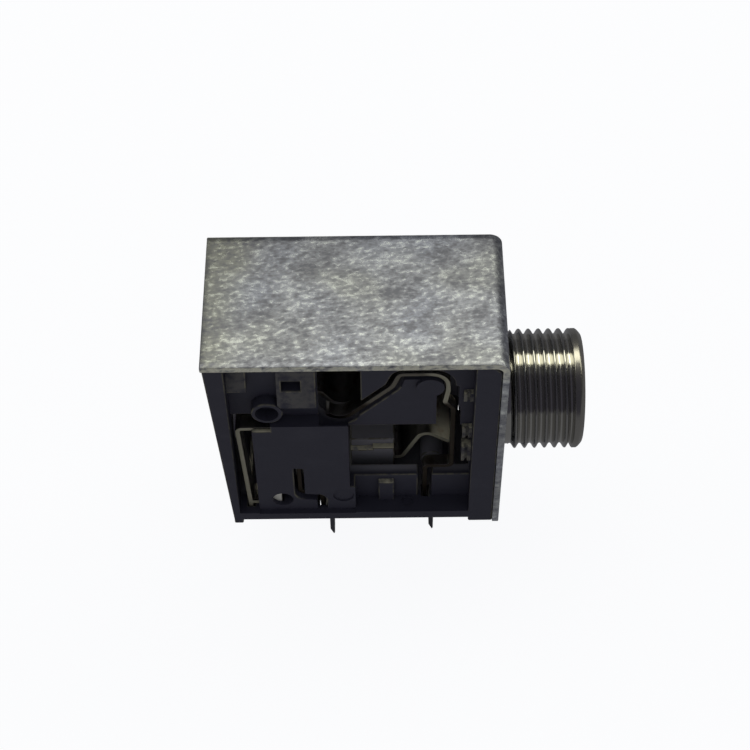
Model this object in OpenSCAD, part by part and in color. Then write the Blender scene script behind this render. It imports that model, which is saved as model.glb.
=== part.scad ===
// Right-angle stereo jack socket for a 6.35 mm plug, with a threaded panel bush and pins for the board.
// The plug leaves along +X and the board lies below. The origin is on the plug axis, at the panel face.
// The open side of the moulding faces -Y.

/* [Plug] */
// Diameter of the plug that goes in
plug_diameter = 6.35; // [6:0.05:7]
// Play between the plug and the bush, over the radius
plug_play = 0.075; // [0.05:0.005:0.2]
// Panel face to the sleeve spring's crest
sleeve_place = 5.45; // [4.5:0.05:7]
// Panel face to the ring spring's bump
ring_place = 12; // [11:0.05:14]
// Panel face to the tip spring's upright, at its top
tip_place = 19.5; // [18:0.05:22]
// How far the resting ring and sleeve bumps reach into the plug's path
contact_press = 0.7; // [0.4:0.05:0.9]
// How far the resting tip arm reaches into the plug's path
tip_press = 1.1; // [0.7:0.05:1.4]

/* [Shield bracket] */
// Width of the folded sheet
body_width = 12; // [11:0.1:16]
// Plug axis up to the top face
top_height = 10.8; // [9.8:0.1:14]
// Board up to the plug axis
axis_height = 9.2; // [8.2:0.1:13]
// Sheet thickness
sheet = 0.5; // [0.3:0.05:1]
// Inside radius of the fold
fold_radius = 0.5; // [0.2:0.05:1.2]
// Play round the thread in the front plate's hole, over the radius
hole_play = 0.05; // [0.02:0.01:0.2]
// Rear edge of the top past the moulding
top_overhang = 0.1; // [0:0.05:0.5]

/* [Threaded bush] */
// Thread's outside diameter
thread_diameter = 9; // [8.6:0.05:10]
// Panel face to the mouth
thread_length = 6; // [4:0.1:12]
// Panel face to the end of the plain neck that goes through the front plate
neck_length = 0.5; // [0.3:0.05:1]
// Depth of that neck
neck_depth = 0.35; // [0.2:0.05:0.5]
// Thread's pitch
thread_pitch = 0.75; // [0.5:0.05:1.5]
// Depth of the thread's grooves
thread_depth = 0.35; // [0.2:0.05:0.5]
// Plain land between the thread and the mouth's chamfer
thread_land = 0.7; // [0.3:0.05:1]
// Chamfer round the mouth
mouth_chamfer = 0.4; // [0.2:0.05:0.6]
// Lead-in of the plug bore
bore_lead = 0.35; // [0.2:0.05:0.6]
// Flange past the thread, over the radius
flange_rim = 0.7; // [0.4:0.05:1]
// Flange thickness
flange_thickness = 0.8; // [0.5:0.05:1.2]
// Wall of the spigot round the plug bore
spigot_wall = 0.75; // [0.5:0.05:1]

/* [Housing] */
// Sheet edge past the moulding's side
side_step = 0.1; // [0.05:0.05:0.3]
// Wall behind the front plate
front_wall = 1.85; // [1.5:0.05:2.5]
// Rear wall at its foot
rear_wall = 0.5; // [0.4:0.05:1.5]
// How much the rear wall leans out towards its top
rear_lean = 1; // [0:0.05:1.5]
// Gap between the rear wall and the tip spring
rear_room = 0.225; // [0.1:0.025:1]
// Gap under the moulding
foot_height = 0.45; // [0.3:0.05:1]
// Width of a foot
foot_width = 1.8; // [1:0.1:2.5]
// Floor thickness
floor_wall = 0.95; // [0.6:0.05:1.2]
// Roof thickness
roof_wall = 1; // [0.8:0.05:1.4]
// Play round the plug inside the moulding, over the radius
channel_play = 0.225; // [0.15:0.025:0.4]
// Play round the plug in the rear wall's hole, over the radius
tip_hole_play = 0.3; // [0.2:0.05:0.6]

/* [Open side] */
// Wall between the web's face and the plug channel
web_wall = 1; // [0.8:0.05:1.4]
// Depth of the panel below the rim
panel_recess = 0.4; // [0.2:0.05:0.6]
// Moulding left in front of the strips behind the panel
panel_skin = 0.4; // [0.3:0.05:0.5]
// Tip spring's upright to the panel
panel_gap = 1.1; // [0.8:0.05:1.5]
// Length of the panel
panel_length = 7; // [6.5:0.1:8]
// Plug axis up to the panel's top
panel_top = 3.05; // [2.9:0.05:4]
// Length of the notch in the panel's upper corner
notch_length = 1.35; // [0.5:0.05:2]
// Height of that notch
notch_height = 0.6; // [0.2:0.05:1]
// How far the panel's lower front corner runs on
toe_length = 0.4; // [0:0.05:0.6]
// Radius of the round mark in that corner
mark_radius = 0.8; // [0.4:0.05:0.9]
// Radius of the round mark in the floor
floor_mark_radius = 0.45; // [0.3:0.05:0.5]
// Floor up to the window between the panel and the front wall
apron_height = 2.9; // [2:0.1:3.5]
// Plug axis up to that window's top
window_top = 1.6; // [1:0.1:2.2]
// Radius of the well round the ring spring's bump
well_radius = 1.55; // [1.4:0.05:2]
// Length of the sloping lug
lug_length = 2.8; // [1.5:0.1:3.5]
// Height of the sloping lug below the top
lug_height = 5.3; // [4:0.1:6]
// Length of the short lug at the rear wall
short_lug_length = 1.4; // [0.8:0.1:2]
// Height of the short lug below the top
short_lug_height = 3.4; // [2.5:0.1:4.5]
// How far the lugs stand off the web
lug_proud = 0.85; // [0.4:0.05:1]
// Height of the slot through the sloping lug
lug_slot_height = 0.95; // [0.5:0.05:1.2]
// Length of that slot
lug_slot_length = 1.35; // [0.6:0.05:1.6]
// Top down to that slot
lug_slot_drop = 2.7; // [1.8:0.05:3.2]
// Radius of the round eye
eye_radius = 1.15; // [0.8:0.05:1.4]
// Width of the eye's rim
eye_rim = 0.3; // [0.2:0.05:0.5]
// How far the eye stands off the web
eye_proud = 0.9; // [0.5:0.05:1]
// Radius of the round hole over the tip spring's tab
tab_hole_radius = 0.8; // [0.5:0.05:0.9]
// How far the guide ribs stand off the front wall
rib_length = 0.7; // [0.4:0.05:0.9]
// Width and depth of the groove down the guide ribs
rib_groove = 0.2; // [0.1:0.05:0.25]
// How far the guide ribs and the buttress stand off the web
rib_proud = 0.4; // [0.2:0.05:0.6]

/* [Contact strips] */
// Thickness of the strip
strip = 0.35; // [0.25:0.05:0.45]
// Bend radius at mid thickness
knee = 0.35; // [0.3:0.05:0.5]
// Play between a contact and its seat
seat_play = 0.05; // [0.03:0.01:0.1]
// Play round a pin or a leg in its slot
slot_play = 0.1; // [0.05:0.01:0.2]
// Play round the break contact behind the panel
pocket_play = 0.2; // [0.1:0.05:0.3]
// Play round the ring spring in the web
window_play = 0.35; // [0.3:0.05:0.6]
// Pin length below the board's face
pin_reach = 3.5; // [2.5:0.1:5]
// Pin width
pin_width = 1; // [0.8:0.05:1.2]
// Length of a pin's slanted point
pin_point = 0.7; // [0.3:0.05:1]

/* [Ring spring] */
// Radius of the post that it wraps
post_radius = 1; // [0.8:0.05:1.2]
// How far that post stands off the web
post_proud = 0.25; // [0:0.05:0.5]
// Play between that post and the wrap
wrap_play = 0.1; // [0.05:0.05:0.4]
// Front wall back to the post
post_back = 3.1; // [3:0.05:4]
// Ceiling down to the post
post_drop = 2.9; // [2.4:0.05:3.2]
// Radius of the bump, at mid thickness
bump_radius = 1.1; // [0.8:0.05:1.3]
// Bump up to the resting tail
tail_rise = 1.55; // [1.3:0.05:2]
// Length of the tail behind the bump
tail_length = 2.9; // [2.4:0.1:3.5]
// Length of the flat run behind the post
run_length = 2.2; // [1.6:0.1:2.4]
// Height of the step from the ramp up to the run
step_height = 1.4; // [1.2:0.05:2]
// Post down to the hook's end
hook_drop = 2.05; // [1.8:0.05:2.3]
// How far the hook's end curls back under the post
hook_curl = 0.2; // [0:0.05:0.3]
// How far the leg stands in front of the hook
leg_shift = 0.45; // [0.2:0.05:0.6]
// Floor up to the jog in the leg
jog_height = 4; // [3:0.1:4.5]
// Panel face to the pin
ring_pin_place = 5.15; // [4.8:0.05:6]

/* [Tip spring] */
// How far the upright leans forward towards its foot
upright_lean = 0.45; // [0:0.05:0.6]
// Length of the arm
arm_length = 3.6; // [3:0.1:4.2]
// Rise of the arm's free end
arm_lift = 0.25; // [0:0.05:0.3]
// Upright to the locking tab
tab_reach = 2.45; // [1.8:0.05:2.6]
// Width of the locking tab's turned lip
tab_lip = 1; // [0.6:0.05:1.1]
// Height of the locking tab
tab_height = 1.7; // [1:0.1:1.8]
// Height of the wide foot
foot_top = 1.2; // [1:0.1:3.5]
// How deep the strips' feet sit in the floor
foot_seat = 0.5; // [0.3:0.05:0.6]
// Length of the pad below the arm
pad_length = 1.4; // [1:0.1:2]
// Arm's end to the break contact's leg
break_gap = 0.7; // [0.5:0.05:0.9]
// Floor up to the break contact's shelf
shelf_height = 1.7; // [1.3:0.05:2]
// Length of that shelf
shelf_length = 1.6; // [1.3:0.05:2]
// Shelf's end to the break contact's pin
shelf_to_pin = 0.7; // [0.6:0.05:1]
// How far the wide arms reach past the plug axis
arm_reach = 1.6; // [0.8:0.1:2]

/* [Sleeve spring] */
// Width of the spring
sleeve_width = 4.4; // [3:0.1:5]
// Radius of the crest, at mid thickness
crest_radius = 0.75; // [0.5:0.05:1]
// Crest forward to the free end
sleeve_nose = 1.65; // [1.4:0.05:2]
// Drop from the crest to the free end
nose_drop = 1.15; // [0.8:0.05:1.4]
// Crest back to the bend at the root
root_reach = 1.95; // [1.7:0.05:2.5]
// Length of the root
root_length = 3.6; // [3:0.1:4.5]
// Floor up to the root
root_height = 2.05; // [1.6:0.05:2.4]
// Front wall back to the pin
sleeve_pin_back = 0.65; // [0.5:0.05:1]
// Radius of the post below the crest
stop_radius = 0.9; // [0.6:0.05:1]
// Moulding left in front of the root
root_skin = 0.3; // [0.2:0.05:0.5]

/* [Hidden] */
$fn = 64;
cut = 1;               // how far a cutting shape runs past the face it cuts
join = 0.1;            // how deep joined shapes run into each other
arc_steps = 6;         // flats in a strip's bend
bump_slope = 48;       // rear flank of the ring spring's bump
sleeve_rise = 68;      // rear flank of the sleeve spring's hump
sleeve_fall = 32;      // its front flank

plug_radius = plug_diameter / 2;
bore_radius = plug_radius + plug_play;
thread_radius = thread_diameter / 2;
flange_radius = thread_radius + flange_rim;
spigot_radius = bore_radius + spigot_wall;
half_width = body_width / 2;
side = half_width - side_step;
board = -axis_height;
under = board + foot_height;
floor_top = under + floor_wall;
roof = top_height - sheet;
ceiling = roof - roof_wall;
front_inside = -sheet - front_wall;
rear_inside = -tip_place - strip / 2 - rear_room;
rear_foot = rear_inside - rear_wall;
rear_outside = rear_foot - rear_lean;
top_rear = rear_outside - top_overhang;
channel = plug_radius + channel_play;
panel_face = -side + panel_recess;
web_face = -channel - web_wall;

// Contacts: places across the socket
tip_near = panel_face + panel_skin;
leg_far = -channel - seat_play;
sleeve_half = sleeve_width / 2;
far_near = channel + seat_play;
far_far = side - 0.7;
near_row = (tip_near + leg_far) / 2;
ring_row = (web_face + leg_far) / 2;
far_row = (far_near + far_far) / 2;

// Contacts: places along and up
pin_end = board - pin_reach;
pin_top = board - 2 * strip;
wrap_radius = post_radius + wrap_play + strip / 2;
post = [front_inside - post_back, ceiling - post_drop];
hook = post.x + wrap_radius;
run_height = post.y + wrap_radius;
run_start = [post.x - run_length, run_height];
step_run = 0.5;
ramp_top = run_start - [step_run, step_height];
hook_knee = post.y - 0.7;
hook_end = [hook - hook_curl, post.y - hook_drop];
ring_leg = hook + leg_shift;
leg_start = hook_end.y - 0.85;
low_leg = -ring_pin_place - 0.55;
bump_height = plug_radius - contact_press + strip / 2;
bump_corner = [-ring_place, bump_height + bump_radius * (1 - 1 / cos(bump_slope))];
tail_height = bump_height + tail_rise;
tail_end = -ring_place - tail_length;
ramp_slope = atan2(ramp_top.y - bump_corner.y, ramp_top.x - bump_corner.x);
flank_length = bump_radius * tan((bump_slope + ramp_slope) / 2) + join;
flank_end = bump_corner + flank_length * [-cos(bump_slope), sin(bump_slope)];
tail_bend = -ring_place - 1.35;
ring_pad_length = 1.2;
ring_pad_height = tail_height - strip - seat_play / 2;
ring_break_leg = -ring_place - 0.65;
arm_height = plug_radius - tip_press + strip / 2;
arm_end = -tip_place + arm_length;
tip_corner = [-tip_place, arm_height];
seat_floor = floor_top - foot_seat;
tip_foot = [-tip_place + upright_lean, seat_floor];
tab_level = floor_top + strip;
tab = -tip_place + tab_reach;
pad_height = arm_height - strip - seat_play / 2;
pad_end = arm_end - pad_length;
break_leg = arm_end + break_gap;
shelf_end = break_leg + shelf_length;
break_foot = shelf_end + 0.1;
tip_break_pin = shelf_end + shelf_to_pin;
sleeve_crest = -plug_radius + contact_press - strip / 2;
root_bend = -sleeve_place - root_reach;
root_end = root_bend - root_length;
root_level = floor_top + root_height;
sleeve_pin = front_inside - sleeve_pin_back;
inner_pins = [[ring_break_leg, far_row], [sleeve_pin, far_row], [tip_foot.x, 0]];

// Housing: places on the open side
panel_rear = -tip_place + panel_gap;
panel_notch = panel_rear + notch_length;
panel_front = panel_rear + panel_length;
toe_front = panel_front + toe_length;
mark = [toe_front - mark_radius - join, floor_top + 1.75];
lug_front = -ring_place - well_radius - seat_play;
lug_rear = lug_front - lug_length;
eye = [panel_notch - 0.15, panel_top + 1.35];
rib_heights = [[4.9, 5.9], [0.4, 1.7], [-2.6, -0.7]];

// Strip geometry

// Unit vector from a to b
function heading(a, b) = (b - a) / norm(b - a);

// The corner at b on the way from a to c, rounded to radius r
function rounded(a, b, c, r) =
    let (u = heading(b, a), v = heading(b, c), half = acos(u * v) / 2)
    let (middle = b + (u + v) / norm(u + v) * r / sin(half))
    let (start = b + u * r / tan(half) - middle)
    let (from = atan2(start.y, start.x), turn = sign(cross(-u, v)) * (180 - 2 * half))
    [for (i = [0:arc_steps]) let (a = from + turn * i / arc_steps) middle + r * [cos(a), sin(a)]];

// A polyline with each inner corner rounded to its own radius
function bent(points, radii) = concat(
    [points[0]],
    [for (i = [1:len(points) - 2]) each rounded(points[i - 1], points[i], points[i + 1], radii[i - 1])],
    [points[len(points) - 1]]);

// Way off the path at point i, longer at a bend so that the strip keeps its thickness
function mitre(path, i) =
    let (last = len(path) - 1)
    let (before = heading(path[max(i - 1, 0)], path[max(i, 1)]))
    let (after = heading(path[min(i, last - 1)], path[min(i + 1, last)]))
    let (a = [-before.y, before.x], b = [-after.y, after.x])
    (a + b) / (1 + a * b);

// Outline of a strip of the given thickness along a path
function ribbon(path, thickness) = concat(
    [for (i = [0:len(path) - 1]) path[i] + mitre(path, i) * thickness / 2],
    [for (i = [len(path) - 1:-1:0]) path[i] - mitre(path, i) * thickness / 2]);

// Where two flanks would meet so that the rounded crest between them has its top at the given place
function crest_corner(x, height, radius, rise, fall) =
    let (reach = radius / cos((rise + fall) / 2), lean = (rise - fall) / 2)
    [x - reach * sin(lean), height - radius + reach * cos(lean)];

// An outline drawn in X and Z, carried across the socket
module across(from, to) {
    translate([0, to, 0]) rotate([90, 0, 0]) linear_extrude(to - from) children();
}

// An outline drawn in Y and Z, carried along the socket
module lengthwise(from, to) {
    translate([from, 0, 0]) rotate([90, 0, 90]) linear_extrude(to - from) children();
}

module block(low, high) {
    translate(low) cube(high - low);
}

module round_bar(place, radius, from, to) {
    translate([place.x, to, place.y]) rotate([90, 0, 0]) cylinder(h = to - from, r = radius);
}

module plug_line_bar(from, to, radius) {
    translate([from, 0, 0]) rotate([0, 90, 0]) cylinder(h = to - from, r = radius);
}

module bent_strip(points, radii, from, to) {
    across(from, to) polygon(ribbon(bent(points, radii), strip));
}

// A slot that follows a strip with room on both faces, its bends opened so that the inner side stays round
module strip_slot(points, radii, from, to, room) {
    width = strip + 2 * room;
    eased = [for (r = radii) max(r, width / 2 + join)];
    across(from, to) polygon(ribbon(bent(points, eased), width));
}

// A pin cut to a slanted point, from its tip up into the foot of its contact
module pin(place, top) {
    heel = strip / 2;
    half = pin_width / 2;
    across(place.y - half, place.y + half) polygon([
        [place.x - strip / 2, top], [place.x - strip / 2, pin_end + pin_point],
        [place.x + heel / 2, pin_end],
        [place.x + strip / 2, pin_end + heel], [place.x + strip / 2, top]]);
}

// Contact paths, each from its free end to its foot

ring_arm_points = [
    flank_end, bump_corner, ramp_top, run_start, [hook, run_height], [hook, hook_knee]];
ring_arm_radii = [bump_radius, 1, 0.45, wrap_radius];
ring_tail_points = [[tail_end, tail_height], [tail_bend, tail_height], bump_corner, ramp_top];
ring_tail_radii = [knee, bump_radius];
ring_leg_points = [
    [post.x - strip, run_height], [hook, run_height], [hook, hook_knee], hook_end, [ring_leg, leg_start],
    [ring_leg, floor_top + jog_height], [low_leg, floor_top + jog_height],
    [low_leg, floor_top], [-ring_pin_place, board], [-ring_pin_place, pin_top]];
ring_leg_radii = [wrap_radius, 1, knee, knee, knee, knee, knee, knee];
tip_points = [[panel_rear, arm_height], tip_corner, tip_foot];
tip_arm_points = [
    [arm_end, arm_height + arm_lift], [arm_end - 0.9, arm_height], [-tip_place + 0.6, arm_height]];
tip_tab_points = [[tab, floor_top + tab_height], [tab, tab_level], [tip_foot.x, tab_level]];
break_points = [
    [pad_end, pad_height], [break_leg, pad_height], [break_leg, floor_top + shelf_height],
    [shelf_end, floor_top + shelf_height - 0.2], [break_foot, seat_floor]];
break_radii = [knee, knee, knee];
break_pin_points = [
    [break_foot, floor_top], [break_foot, under - join], [tip_break_pin, board], [tip_break_pin, pin_top]];
break_pin_radii = [knee, knee];
ring_break_points = [
    [tail_end, ring_pad_height], [ring_break_leg, ring_pad_height], [ring_break_leg, floor_top]];
sleeve_points = [
    [-sleeve_place + sleeve_nose, sleeve_crest - nose_drop],
    crest_corner(-sleeve_place, sleeve_crest, crest_radius, sleeve_rise, sleeve_fall),
    [root_bend, root_level], [root_end, root_level]];
sleeve_radii = [crest_radius, 0.5];
sleeve_leg_points = [[root_end, root_level], [sleeve_pin, root_level], [sleeve_pin, floor_top]];

// Outline of one groove of the thread, drawn as a ring, with its middle at x
function thread_groove(x) =
    let (mouth = thread_pitch * 0.42, root = thread_pitch * 0.1, low = thread_radius - thread_depth)
    [[thread_radius, x - mouth], [low, x - root], [low, x + root], [thread_radius, x + mouth]];

module shield_bracket() {
    outer = fold_radius + sheet;
    color("darkgray") difference() {
        across(-half_width, half_width) {
            translate([top_rear, roof]) square([-top_rear - outer, sheet]);
            translate([-sheet, board]) square([sheet, top_height - outer - board]);
            intersection() {
                translate([-outer, top_height - outer]) difference() {
                    circle(r = outer);
                    circle(r = fold_radius);
                }
                translate([-outer, top_height - outer]) square(outer + cut);
            }
        }
        plug_line_bar(-sheet - cut, cut, thread_radius + hole_play);
    }
}

module threaded_bush() {
    flange_back = -sheet - flange_thickness;
    neck_radius = thread_radius - neck_depth;
    thread_start = neck_length + neck_depth;
    turns = floor((thread_length - mouth_chamfer - thread_land - thread_start) / thread_pitch);
    color("silver") rotate([0, 90, 0]) rotate_extrude() polygon(concat(
        [[bore_radius, front_inside], [spigot_radius, front_inside], [spigot_radius, flange_back],
         [flange_radius, flange_back], [flange_radius, -sheet], [neck_radius, -sheet],
         [neck_radius, neck_length], [thread_radius, thread_start]],
        [for (i = [1:turns]) each thread_groove(thread_start + (i - 0.5) * thread_pitch)],
        [[thread_radius, thread_length - mouth_chamfer], [thread_radius - mouth_chamfer, thread_length],
         [bore_radius + bore_lead, thread_length], [bore_radius, thread_length - bore_lead]]));
}

// Outer form of the moulding, with the feet that set it off the board
module housing_shell() {
    bevel = fold_radius + join;
    rear_foot_length = 0.7;
    across(-side, side) polygon([
        [-sheet, under], [-sheet, roof - bevel], [-sheet - bevel, roof],
        [rear_outside, roof], [rear_foot, under]]);
    for (near = [-side, side - foot_width]) {
        block([front_inside, near, board], [-sheet, near + foot_width, under + join]);
        block([rear_foot, near, board], [rear_foot + rear_foot_length, near + foot_width, under + join]);
    }
}

// The open side's two levels: the web all over, and the panel that stays proud of it
module side_recess() {
    difference() {
        block([rear_inside, -side - cut, floor_top], [front_inside, web_face, roof + cut]);
        across(-side - 2 * cut, web_face + cut) side_panel();
    }
    across(-side - cut, panel_face) side_panel();
}

module side_panel() {
    shoulder = panel_top - notch_height;
    toe_top = floor_top + apron_height;
    polygon([
        [panel_rear, floor_top - join], [panel_rear, shoulder],
        [panel_notch, shoulder], [panel_notch, panel_top],
        [panel_front, panel_top], [panel_front, toe_top],
        [toe_front, toe_top], [toe_front, floor_top - join]]);
}

// Windows through the near wall, from the web into the channel
module side_windows() {
    from = web_face - cut;
    to = -channel + cut;
    well = [-ring_place, bump_height + bump_radius - strip];
    beside_leg = 1.25;
    above_arm = 0.9;
    block([panel_front, from, floor_top + apron_height], [front_inside, to, window_top]);
    block([ring_leg - beside_leg, from, window_top - join], [ring_leg + window_play, to, post.y - join]);
    block([rear_inside, -side - cut, floor_top], [panel_rear, to, arm_height + above_arm]);
    across(from, to) polygon(concat(
        [for (a = [180:15:360]) well + well_radius * [cos(a), sin(a)]],
        [[well.x + well_radius, ceiling], [well.x - well_radius, ceiling]]));
    strip_slot(ring_arm_points, ring_arm_radii, from, to, window_play);
    intersection() {
        strip_slot(ring_leg_points, ring_leg_radii, from, to, window_play);
        block([rear_outside, from - cut, floor_top], [0, to + cut, roof]);
    }
}

// Pockets behind the panel for the tip spring, its locking tab and its break contact
module panel_pockets() {
    behind = tip_near - seat_play;
    to = -channel + cut;
    tab_room = 0.55;
    slit_height = 5.4;
    strip_slot(break_points, break_radii, behind, to, pocket_play);
    block([panel_rear - cut, behind, pad_height - 0.6], [arm_end + 0.4, to, panel_top - join]);
    block([panel_rear - cut, behind, floor_top], [tab + tab_room, to, floor_top + tab_height + 0.4]);
    round_bar([tab + 0.5, floor_top + 1.3], tab_hole_radius, -side - cut, to);
    intersection() {
        strip_slot(break_points, break_radii, -side - cut, behind + join, pocket_play);
        block([rear_outside, -side - 2 * cut, floor_top], [0, behind + cut, floor_top + slit_height]);
    }
}

// Seats on the far side for the two contacts that run there
module far_seats() {
    from = channel - cut;
    to = far_far + seat_play;
    half = strip / 2 + slot_play;
    strip_slot(ring_break_points, [knee], from, to, slot_play);
    strip_slot(sleeve_leg_points, [knee], from, to, slot_play);
    block([root_end - slot_play, from, root_level - half], [root_bend, to, root_level + half]);
}

// Holes in the floor for the pins, one of them aslant, and the blind seats for the strips' feet
module pin_slots() {
    long = strip / 2 + slot_play;
    wide = pin_width / 2 + slot_play;
    for (p = inner_pins)
        block([p.x - long, p.y - wide, board - cut], [p.x + long, p.y + wide, floor_top + strip]);
    block([break_foot - long, near_row - wide, board - cut],
          [break_foot + long, near_row + wide, floor_top]);
    for (x = [tip_foot.x, break_foot])
        block([x - long, tip_near - slot_play, seat_floor - seat_play],
              [x + long, leg_far + slot_play, floor_top + join]);
    intersection() {
        strip_slot(ring_leg_points, ring_leg_radii, web_face - slot_play, leg_far + slot_play, slot_play);
        block([rear_outside, -half_width, board - cut], [0, half_width, floor_top + join]);
    }
}

// The block that holds the sleeve spring's root, with a ledge along its foot and two along its top
module root_block() {
    gap = strip / 2 + seat_play;
    near = -sleeve_half - root_skin;
    front = root_bend - 0.6;
    rear = root_end - 0.35;
    top = -channel - join;
    foot_proud = 0.15;
    foot_level = root_level - 0.65;
    ledge_depth = near + 0.45;
    ledge_rear = front - 1.65;
    high_ledge = root_level + 1.65;
    low_ledge = root_level + 1.4;
    difference() {
        block([rear, near, floor_top - join], [front, channel + join, top]);
        block([root_end - seat_play, -sleeve_half - seat_play, root_level - gap],
              [front + cut, channel + cut, root_level + gap]);
        block([ledge_rear, near - cut, high_ledge], [front + cut, ledge_depth, top + cut]);
        block([rear - cut, near - cut, low_ledge], [ledge_rear, ledge_depth, top + cut]);
    }
    block([ledge_rear - foot_proud, near - foot_proud, floor_top - join], [front, near + join, foot_level]);
}

// What else stands inside the channel: the two posts and the keeper over the ring spring
module channel_posts() {
    gap = strip / 2 + seat_play;
    stop = [-sleeve_place + 0.35, floor_top + stop_radius * 2];
    keeper = post.x - 1.5;
    keeper_length = 0.8;
    round_bar(post, post_radius, web_face - post_proud, channel + join);
    round_bar(stop, stop_radius, -sleeve_half, channel + join);
    block([keeper, -channel - join, run_height + gap],
          [keeper + keeper_length, channel + join, ceiling + join]);
}

// A lug that slopes from the roof's edge out over the web
module lug(from, to, height) {
    low = roof - height;
    lengthwise(from, to) polygon([
        [web_face + join, low], [web_face - lug_proud, low], [web_face, roof], [web_face + join, roof]]);
}

// Raised forms on the web: the lugs, the eye, the buttress and the guide ribs
module web_forms() {
    buttress = root_bend - 1.85;
    buttress_length = 1.2;
    buttress_height = 2.35;
    lug(lug_rear, lug_front, lug_height);
    lug(rear_inside - join, rear_inside + short_lug_length, short_lug_height);
    round_bar(eye, eye_radius, web_face - eye_proud, web_face + join);
    block([buttress, web_face - rib_proud, floor_top - join],
          [buttress + buttress_length, web_face + join, floor_top + buttress_height]);
    for (z = rib_heights)
        block([front_inside - rib_length, web_face - rib_proud, z[0]],
              [front_inside + join, -channel, z[1]]);
}

// The blind dish of the eye, the slot through the lug, the round marks and the groove down the guide ribs
module web_holes() {
    dish_depth = 0.2;
    mark_depth = 0.12;
    floor_mark = [root_bend + 0.4, web_face - 0.55];
    slot_rear = lug_rear + 0.35;
    slot_top = roof - lug_slot_drop;
    groove = front_inside - (rib_length + rib_groove) / 2;
    round_bar(eye, eye_radius - eye_rim, -side - cut, web_face + dish_depth);
    block([slot_rear, -side - cut, slot_top - lug_slot_height],
          [slot_rear + lug_slot_length, -channel + cut, slot_top]);
    round_bar(mark, mark_radius, -side - cut, panel_face + mark_depth);
    translate([floor_mark.x, floor_mark.y, floor_top - mark_depth])
        cylinder(h = cut, r = floor_mark_radius);
    block([groove, -side - cut, floor_top + apron_height],
          [groove + rib_groove, web_face - rib_proud + rib_groove, roof]);
}

// Room for the bush in the front wall and for the plug's tip in the rear wall
module plug_holes() {
    plug_line_bar(front_inside - cut, cut, spigot_radius + seat_play);
    plug_line_bar(-sheet - flange_thickness - seat_play, cut, flange_radius + seat_play);
    plug_line_bar(rear_outside - cut, rear_inside + cut, plug_radius + tip_hole_play);
}

module housing() {
    color([0.14, 0.14, 0.17]) difference() {
        union() {
            difference() {
                housing_shell();
                side_recess();
                side_windows();
                block([rear_inside, -channel, floor_top], [front_inside, channel, ceiling]);
            }
            web_forms();
            channel_posts();
            root_block();
        }
        panel_pockets();
        far_seats();
        pin_slots();
        web_holes();
        plug_holes();
    }
}

module tip_spring() {
    color("goldenrod") {
        bent_strip(tip_points, [knee], tip_near, leg_far);
        bent_strip(tip_arm_points, [knee], tip_near, arm_reach);
        bent_strip(tip_tab_points, [knee], tip_near, leg_far);
        block([tab - tab_lip * 0.6, tip_near, tab_level - join],
              [tab + tab_lip * 0.4, tip_near + strip, floor_top + tab_height]);
        intersection() {
            bent_strip(tip_points, [knee], tip_near, pin_width / 2);
            block([rear_inside, -half_width, floor_top], [0, half_width, floor_top + foot_top]);
        }
        pin([tip_foot.x, 0], floor_top + strip);
    }
}

module ring_spring() {
    color("goldenrod") {
        bent_strip(ring_arm_points, ring_arm_radii, web_face, arm_reach);
        bent_strip(ring_tail_points, ring_tail_radii, -channel + join, arm_reach);
        bent_strip(ring_leg_points, ring_leg_radii, web_face, leg_far);
        pin([-ring_pin_place, ring_row], pin_top + join);
    }
}

module sleeve_spring() {
    bridge = 2.4;
    color("goldenrod") {
        bent_strip(sleeve_points, sleeve_radii, -sleeve_half, sleeve_half);
        bent_strip(sleeve_leg_points, [knee], far_near, far_far);
        block([root_end, -sleeve_half, root_level - strip / 2],
              [root_end + bridge, far_far, root_level + strip / 2]);
        pin([sleeve_pin, far_row], floor_top + strip);
    }
}

module tip_break_contact() {
    color("goldenrod") {
        bent_strip(break_points, break_radii, tip_near, leg_far);
        bent_strip(break_pin_points, break_pin_radii, near_row - pin_width / 2, near_row + pin_width / 2);
        pin([tip_break_pin, near_row], pin_top + join);
    }
}

module ring_break_contact() {
    pad_near = -1;
    color("goldenrod") {
        bent_strip(ring_break_points, [knee], far_near, far_far);
        block([tail_end, pad_near, ring_pad_height - strip / 2],
              [tail_end + ring_pad_length, far_far, ring_pad_height + strip / 2]);
        pin([ring_break_leg, far_row], floor_top + strip);
    }
}

shield_bracket();
threaded_bush();
housing();
tip_spring();
ring_spring();
sleeve_spring();
tip_break_contact();
ring_break_contact();
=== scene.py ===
"""Dresses a right-angle stereo jack socket.

A tinned sheet shield is folded over a black moulding, a plated bush carries a real thread, and stamped strips lie in
the moulding's open side. Lengths are written in millimetres and turned into metres where a mesh is made.
"""

from __future__ import annotations

import logging
import math
from dataclasses import dataclass
from enum import Enum
from typing import Any, Callable, Mapping, Sequence, Union

import bmesh
import bpy
import numpy as np
from mathutils import Matrix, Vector
from mathutils.bvhtree import BVHTree
from mathutils.geometry import intersect_point_line

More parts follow.
